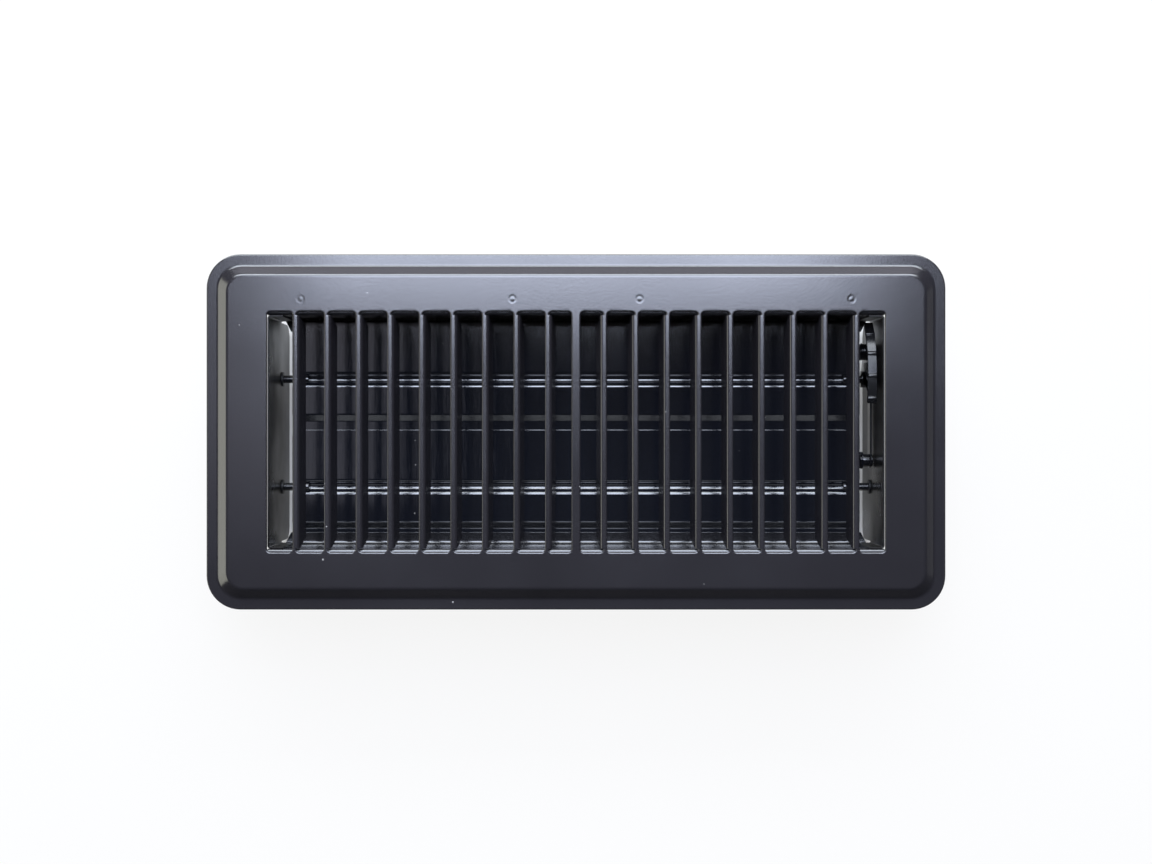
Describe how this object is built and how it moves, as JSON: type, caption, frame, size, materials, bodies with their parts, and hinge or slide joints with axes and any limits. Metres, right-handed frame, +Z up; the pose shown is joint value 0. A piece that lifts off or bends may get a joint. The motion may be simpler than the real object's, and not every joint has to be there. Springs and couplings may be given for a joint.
{
  "type": "floor register",
  "caption": "Louvred floor register with bent-down fins over a sheet-metal box, and a lapping-blade damper worked by a thumb lever.",
  "frame": {"origin": "middle of the footprint, level with the end walls' lower edges", "axes": "+X along the long side towards the thumb lever, +Y across the face, +Z up out of the face"},
  "size_m": [0.292, 0.1404, 0.052],
  "materials": {
    "paint": "semi-gloss black baked enamel with a fine orange peel",
    "box_paint": "glossy black enamel",
    "blade_paint": "satin black enamel",
    "lever_plastic": "glossy black moulding",
    "bush_plastic": "satin black moulding"
  },
  "bodies": {
    "housing": {"faceplate": "paint", "side_wall_rear": "box_paint", "side_wall_front": "box_paint", "end_wall_left": "box_paint", "end_wall_right": "box_paint", "pivot_bush_rear_left": "bush_plastic", "pivot_bush_rear_right": "bush_plastic", "pivot_bush_front_left": "bush_plastic", "pivot_bush_front_right": "bush_plastic"},
    "rear_blade": {"blade_rear": "blade_paint", "pivot_pin_rear_left": "box_paint", "pivot_pin_rear_right": "box_paint", "thumb_lever": "lever_plastic", "friction_washer": "bush_plastic", "link_pin_rear": "box_paint"},
    "front_blade": {"blade_front": "blade_paint", "pivot_pin_front_left": "box_paint", "pivot_pin_front_right": "box_paint", "link_pin_front": "box_paint"},
    "link": {"link_bar": "box_paint"}
  },
  "joints": [
    {"name": "rear_blade_turn", "type": "hinge", "parent": "housing", "child": "rear_blade", "pos_m": [0, 0.0217, 0.0195], "axis": [1, 0, 0], "range_deg": [0, 55]},
    {"name": "front_blade_turn", "type": "hinge", "parent": "housing", "child": "front_blade", "pos_m": [0, -0.0225, 0.0195], "axis": [1, 0, 0], "range_deg": [0, 55]},
    {"name": "link_swing", "type": "hinge", "parent": "rear_blade", "child": "link", "pos_m": [0.1195, 0.0327, 0.02625], "axis": [1, 0, 0], "range_deg": [-55, 0]}
  ],
  "couplings": [
    {"joint": "front_blade_turn", "follows": "rear_blade_turn", "ratio": 1},
    {"joint": "link_swing", "follows": "rear_blade_turn", "ratio": -1}
  ]
}
